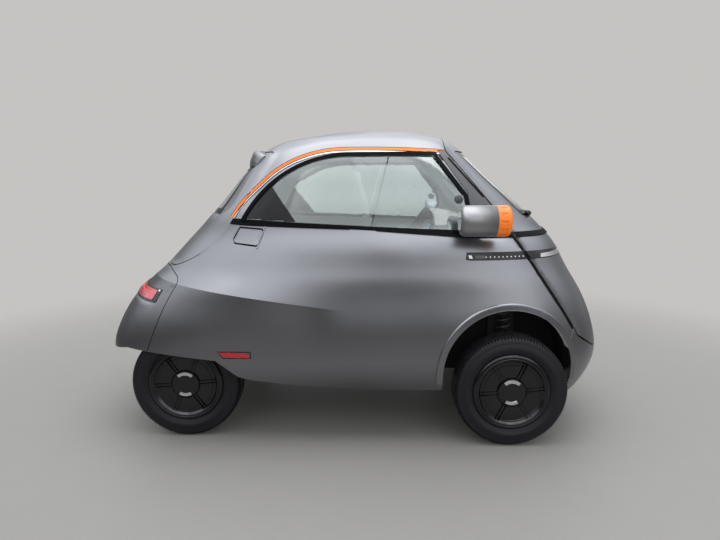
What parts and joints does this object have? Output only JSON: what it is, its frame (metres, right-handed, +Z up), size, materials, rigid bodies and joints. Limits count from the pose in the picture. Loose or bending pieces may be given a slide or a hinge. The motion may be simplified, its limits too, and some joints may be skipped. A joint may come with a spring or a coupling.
{
  "type": "two-seat front-door bubble microcar",
  "caption": "Small rounded two-seat electric city car entered through a front door, with lamp pods, opening tailgate and steered front wheels.",
  "frame": {"origin": "on the ground under the middle of the car", "axes": "+X points forward, +Y to the car's left, +Z up"},
  "size_m": [2.5187, 1.473, 1.501],
  "materials": {
    "body_paint": "satin metallic anthracite",
    "light_paint": "satin metallic grey",
    "orange_trim": "satin orange",
    "black_trim": "satin black",
    "gloss_black": "gloss black",
    "glass": "clear, slightly green",
    "red_lens": "dark red lens",
    "lamp_lens": "clear lens",
    "mirror": "polished",
    "tyre": "black rubber",
    "rim_steel": "black steel",
    "cover_black": "semi-gloss black",
    "chassis": "black chassis coat",
    "machined": "machined",
    "floor_grey": "dark grey",
    "battery_case": "grey",
    "motor_case": "cast",
    "seat_fabric": "dark woven fabric",
    "cabin_plastic": "dark grained",
    "liner": "matt black",
    "door_bar_metal": "satin"
  },
  "bodies": {
    "root": {"upper_body": "body_paint", "lower_body": "body_paint", "front_bumper": "body_paint", "rear_bumper": "body_paint", "roof_panel": "body_paint", "side_window_frames": "black_trim", "side_windows": "glass", "belt_trim": "black_trim", "pillar_covers": "gloss_black", "side_light_strips": "gloss_black", "tail_lamps": "red_lens", "side_reflectors": "red_lens", "roof_stripes": "orange_trim", "front_subframe": "chassis", "front_wishbones": "chassis", "front_dampers": "chassis", "rear_axle": "chassis", "rear_dampers": "chassis", "motor": "motor_case", "floor_pan": "floor_grey", "wheel_housings": "liner", "battery": "battery_case", "seat_cushion": "seat_fabric", "seat_backrest": "seat_fabric", "steering_column": "cabin_plastic", "instrument_display": "cabin_plastic", "pedals": "machined", "charge_socket": "black_trim", "lamp_pods": "light_paint", "mirror_glasses": "mirror", "lamp_pod_rings": "orange_trim", "headlamp_lenses": "lamp_lens", "door_hinge_straps": "black_trim"},
    "front_door": {"front_door": "body_paint", "windscreen": "glass", "front_light_bar": "gloss_black", "door_belt_trim": "black_trim", "door_hinge_leaves": "black_trim", "door_bar": "door_bar_metal", "wiper": "black_trim"},
    "tailgate": {"tailgate": "body_paint", "rear_window": "glass", "tailgate_lip": "body_paint"},
    "charge_flap": {"charge_flap": "body_paint"},
    "knuckle_left": {"knuckle_left": "machined"},
    "knuckle_right": {"knuckle_right": "machined"},
    "steering_rack": {"tie_rods": "chassis"},
    "steering_wheel": {"steering_wheel": "cabin_plastic"},
    "wheel_front_left": {"tyre_front_left": "tyre", "rim_front_left": "rim_steel", "wheel_cover_front_left": "cover_black"},
    "wheel_front_right": {"tyre_front_right": "tyre", "rim_front_right": "rim_steel", "wheel_cover_front_right": "cover_black"},
    "wheel_rear_left": {"tyre_rear_left": "tyre", "rim_rear_left": "rim_steel", "wheel_cover_rear_left": "cover_black"},
    "wheel_rear_right": {"tyre_rear_right": "tyre", "rim_rear_right": "rim_steel", "wheel_cover_rear_right": "cover_black"}
  },
  "joints": [
    {"name": "door_hinge", "type": "hinge", "parent": "root", "child": "front_door", "pos_m": [1.04001, 0.63358, 0.62], "axis": [0, 0, 1], "range_deg": [0, 80]},
    {"name": "tailgate_hinge", "type": "hinge", "parent": "root", "child": "tailgate", "pos_m": [-0.52, 0, 1.396], "axis": [0, 1, 0], "range_deg": [0, 72]},
    {"name": "charge_flap_hinge", "type": "hinge", "parent": "root", "child": "charge_flap", "pos_m": [-0.46537, -0.50396, 0.97401], "axis": [0.3178, 0.356, 0.8788], "range_deg": [0, 90]},
    {"name": "steer_left", "type": "hinge", "parent": "root", "child": "knuckle_left", "pos_m": [0.719, 0.609, 0.2665], "axis": [0, 0, 1], "range_deg": [-28, 28]},
    {"name": "steer_right", "type": "hinge", "parent": "root", "child": "knuckle_right", "pos_m": [0.719, -0.609, 0.2665], "axis": [0, 0, 1], "range_deg": [-28, 28]},
    {"name": "rack_slide", "type": "slide", "parent": "root", "child": "steering_rack", "axis": [0, 1, 0], "range_m": [-0.045, 0.045]},
    {"name": "steering_wheel_turn", "type": "hinge", "parent": "root", "child": "steering_wheel", "pos_m": [0.33, 0.215, 0.935], "axis": [-0.8829, 0, 0.4695], "range_deg": [-337, 337]},
    {"name": "roll_front_left", "type": "hinge", "parent": "knuckle_left", "child": "wheel_front_left", "pos_m": [0.719, 0.619, 0.2665], "axis": [0, 1, 0], "continuous": true},
    {"name": "roll_front_right", "type": "hinge", "parent": "knuckle_right", "child": "wheel_front_right", "pos_m": [0.719, -0.619, 0.2665], "axis": [0, 1, 0], "continuous": true},
    {"name": "roll_rear_left", "type": "hinge", "parent": "root", "child": "wheel_rear_left", "pos_m": [-0.839, 0.517, 0.2665], "axis": [0, 1, 0], "continuous": true},
    {"name": "roll_rear_right", "type": "hinge", "parent": "root", "child": "wheel_rear_right", "pos_m": [-0.839, -0.517, 0.2665], "axis": [0, 1, 0], "continuous": true}
  ],
  "couplings": [
    {"joint": "steer_right", "follows": "steer_left", "ratio": 1},
    {"joint": "rack_slide", "follows": "steer_left", "m_per_rad": -0.092},
    {"joint": "steering_wheel_turn", "follows": "steer_left", "ratio": 12}
  ]
}
